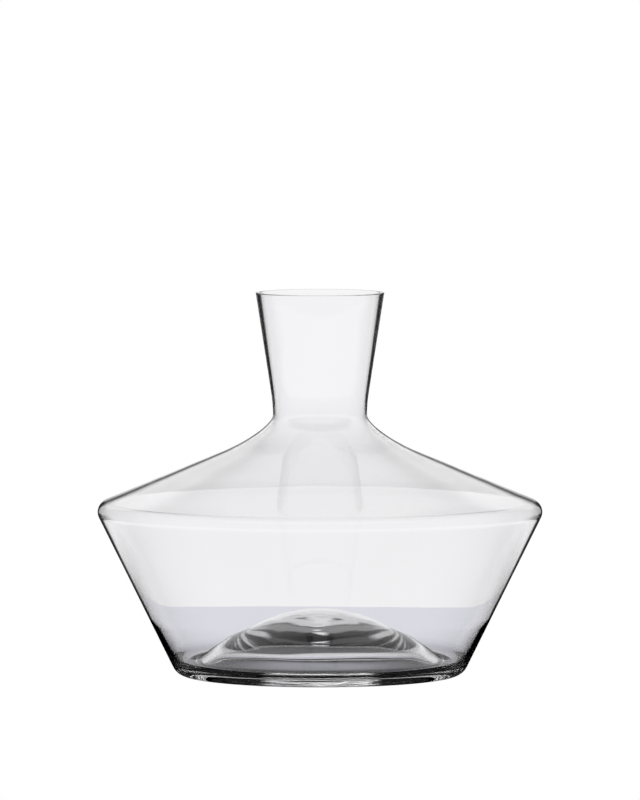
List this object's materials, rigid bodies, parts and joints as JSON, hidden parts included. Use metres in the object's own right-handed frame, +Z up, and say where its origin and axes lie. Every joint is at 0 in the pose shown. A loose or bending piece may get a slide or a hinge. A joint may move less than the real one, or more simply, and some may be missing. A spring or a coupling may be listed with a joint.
{
  "type": "wine decanter",
  "caption": "Clear blown glass decanter with a flared neck, a narrow throat, a shallow conical shoulder, a sharp wide belly and a bowl tapering to a small foot with a punt.",
  "frame": {"origin": "centre of the foot ring, on the surface that the decanter stands on", "axes": "+Z up along the axis of revolution, from the foot to the mouth; +X and +Y are equal radial directions"},
  "size_m": [0.22, 0.22, 0.1896],
  "materials": {
    "clear_glass": "clear colourless crystal, fire polished"
  },
  "bodies": {
    "root": {"glass_vessel": "clear_glass"}
  },
  "joints": []
}
